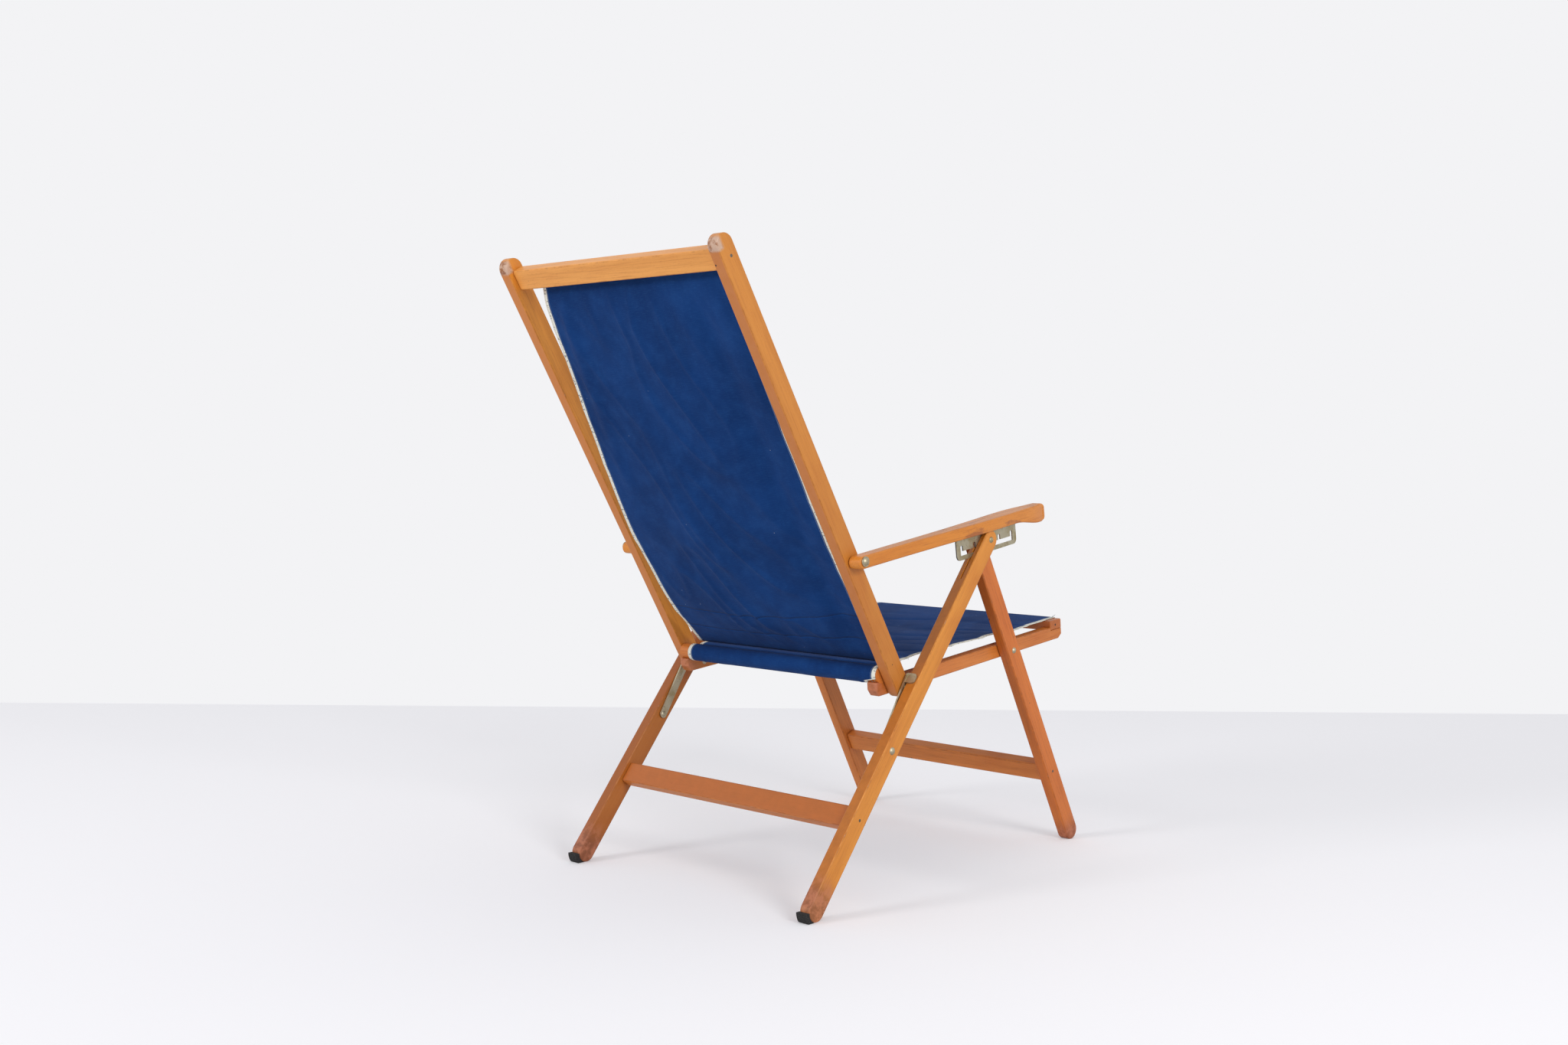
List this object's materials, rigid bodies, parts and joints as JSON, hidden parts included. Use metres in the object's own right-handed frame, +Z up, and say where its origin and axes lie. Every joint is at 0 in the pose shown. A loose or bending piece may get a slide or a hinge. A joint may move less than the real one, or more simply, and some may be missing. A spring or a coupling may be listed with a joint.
{
  "type": "steamer deck chair",
  "caption": "Folding steamer deck chair: lacquered beech frame, blue canvas sling with a flat seat and a bellied back, wide armrests with notched steel plates, and steel links",
  "frame": {"origin": "On the floor, in the middle of the chair's length and width as it stands open", "axes": "+X the sitter's left, +Y towards the back, +Z up"},
  "size_m": [0.583, 0.9758, 1.0475],
  "materials": {
    "wood": "clear lacquer, worn, warm orange brown beech",
    "canvas": "plain woven cotton canvas, mid blue, slightly faded",
    "felt": "thick black felt",
    "zinc_steel": "dull zinc plated steel with some tarnish",
    "nail_steel": "dark bare steel"
  },
  "bodies": {
    "rear_legs": {"rear_leg_left": "wood", "rear_leg_right": "wood", "rear_stretcher": "wood", "rear_stretcher_nails": "nail_steel", "foot_felts": "felt", "top_pin_heads": "zinc_steel", "top_pins": "zinc_steel", "link_bolts": "zinc_steel"},
    "front_legs": {"front_leg_left": "wood", "front_leg_right": "wood", "front_stretcher": "wood", "front_stretcher_nails": "nail_steel"},
    "seat": {"seat_rail_left": "wood", "seat_rail_right": "wood", "seat_front_rail": "wood", "seat_rear_bar": "wood", "seat_pivot_bolts": "zinc_steel", "seat_canvas": "canvas"},
    "back_pivots": {"back_pivot_pins": "zinc_steel", "back_canvas_lap": "canvas"},
    "back": {"stile_left": "wood", "stile_right": "wood", "top_rail": "wood", "top_rail_nails": "nail_steel", "back_canvas": "canvas", "armrest_bolt_ends": "zinc_steel"},
    "arm_pivots": {"armrest_bolts": "zinc_steel", "armrest_washers": "zinc_steel"},
    "arm_left": {"armrest_left": "wood", "notch_plate_left": "zinc_steel"},
    "arm_right": {"armrest_right": "wood", "notch_plate_right": "zinc_steel"},
    "links": {"link_left": "zinc_steel", "link_right": "zinc_steel", "link_rivets": "zinc_steel"}
  },
  "joints": [
    {"name": "fold", "type": "hinge", "parent": "rear_legs", "child": "front_legs", "pos_m": [0, -0.15973, 0.5794], "axis": [-1, 0, 0], "range_deg": [-54.8, 0]},
    {"name": "seat_turn", "type": "hinge", "parent": "front_legs", "child": "seat", "pos_m": [0, -0.27252, 0.37507], "axis": [-1, 0, 0], "range_deg": [0, 84.51]},
    {"name": "back_turn", "type": "hinge", "parent": "seat", "child": "back_pivots", "pos_m": [0, 0.04656, 0.34097], "axis": [-1, 0, 0], "range_deg": [-74.86, 0]},
    {"name": "recline", "type": "hinge", "parent": "back_pivots", "child": "back", "pos_m": [0, 0.04656, 0.34097], "axis": [-1, 0, 0], "range_deg": [-17.88, 20.09], "deforming": ["back_canvas_lap"]},
    {"name": "arm_swing", "type": "hinge", "parent": "back_pivots", "child": "arm_pivots", "pos_m": [0, -0.27824, -0.16594], "axis": [-1, 0, 0], "range_deg": [-5.29, 5.93]},
    {"name": "arm_turn_left", "type": "hinge", "parent": "arm_pivots", "child": "arm_left", "pos_m": [0, 0.17876, 0.55586], "axis": [-1, 0, 0], "range_deg": [0, 86.05]},
    {"name": "arm_turn_right", "type": "hinge", "parent": "arm_pivots", "child": "arm_right", "pos_m": [0, 0.17876, 0.55586], "axis": [-1, 0, 0], "range_deg": [0, 86.05]},
    {"name": "link_turn", "type": "hinge", "parent": "rear_legs", "child": "links", "pos_m": [0, 0.10696, 0.24411], "axis": [-1, 0, 0], "range_deg": [0, 155.02]}
  ],
  "couplings": [
    {"joint": "seat_turn", "follows": "fold", "ratio": -1.5412},
    {"joint": "back_turn", "follows": "fold", "ratio": 1.3651},
    {"joint": "arm_turn_left", "follows": "fold", "ratio": -1.5693},
    {"joint": "arm_turn_right", "follows": "fold", "ratio": -1.5693},
    {"joint": "link_turn", "follows": "fold", "ratio": -2.828},
    {"joint": "arm_swing", "follows": "recline", "ratio": 0.2928}
  ]
}
